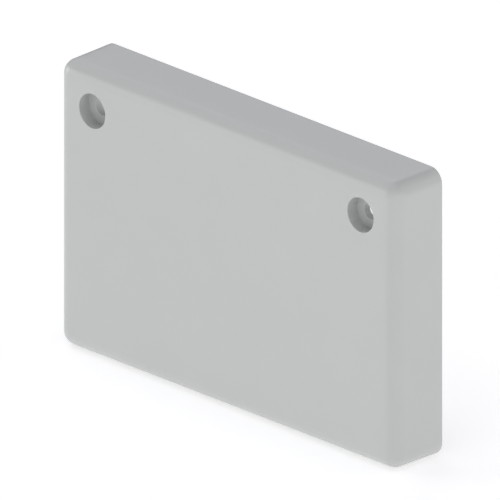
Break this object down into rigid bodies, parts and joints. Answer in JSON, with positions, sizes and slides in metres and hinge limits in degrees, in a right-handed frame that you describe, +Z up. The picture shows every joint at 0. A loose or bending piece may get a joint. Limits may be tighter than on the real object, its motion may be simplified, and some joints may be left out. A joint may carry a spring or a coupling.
{
  "type": "profile end cap",
  "caption": "Shallow moulded plastic cover, open at the back, with rounded front edges and counterbored screw holes near its top corners. It closes the end of a frame profile.",
  "frame": {"origin": "centre of the back rim, in the plane that seats on the end of the profile", "axes": "+X along the width, +Y out of the open back towards the profile, +Z up to the edge that the screw holes are near; the front face looks along -Y"},
  "size_m": [0.1, 0.014, 0.065],
  "materials": {
    "grey_plastic": "light grey moulded plastic with a fine satin texture"
  },
  "bodies": {
    "root": {"end_cap": "grey_plastic"}
  },
  "joints": []
}
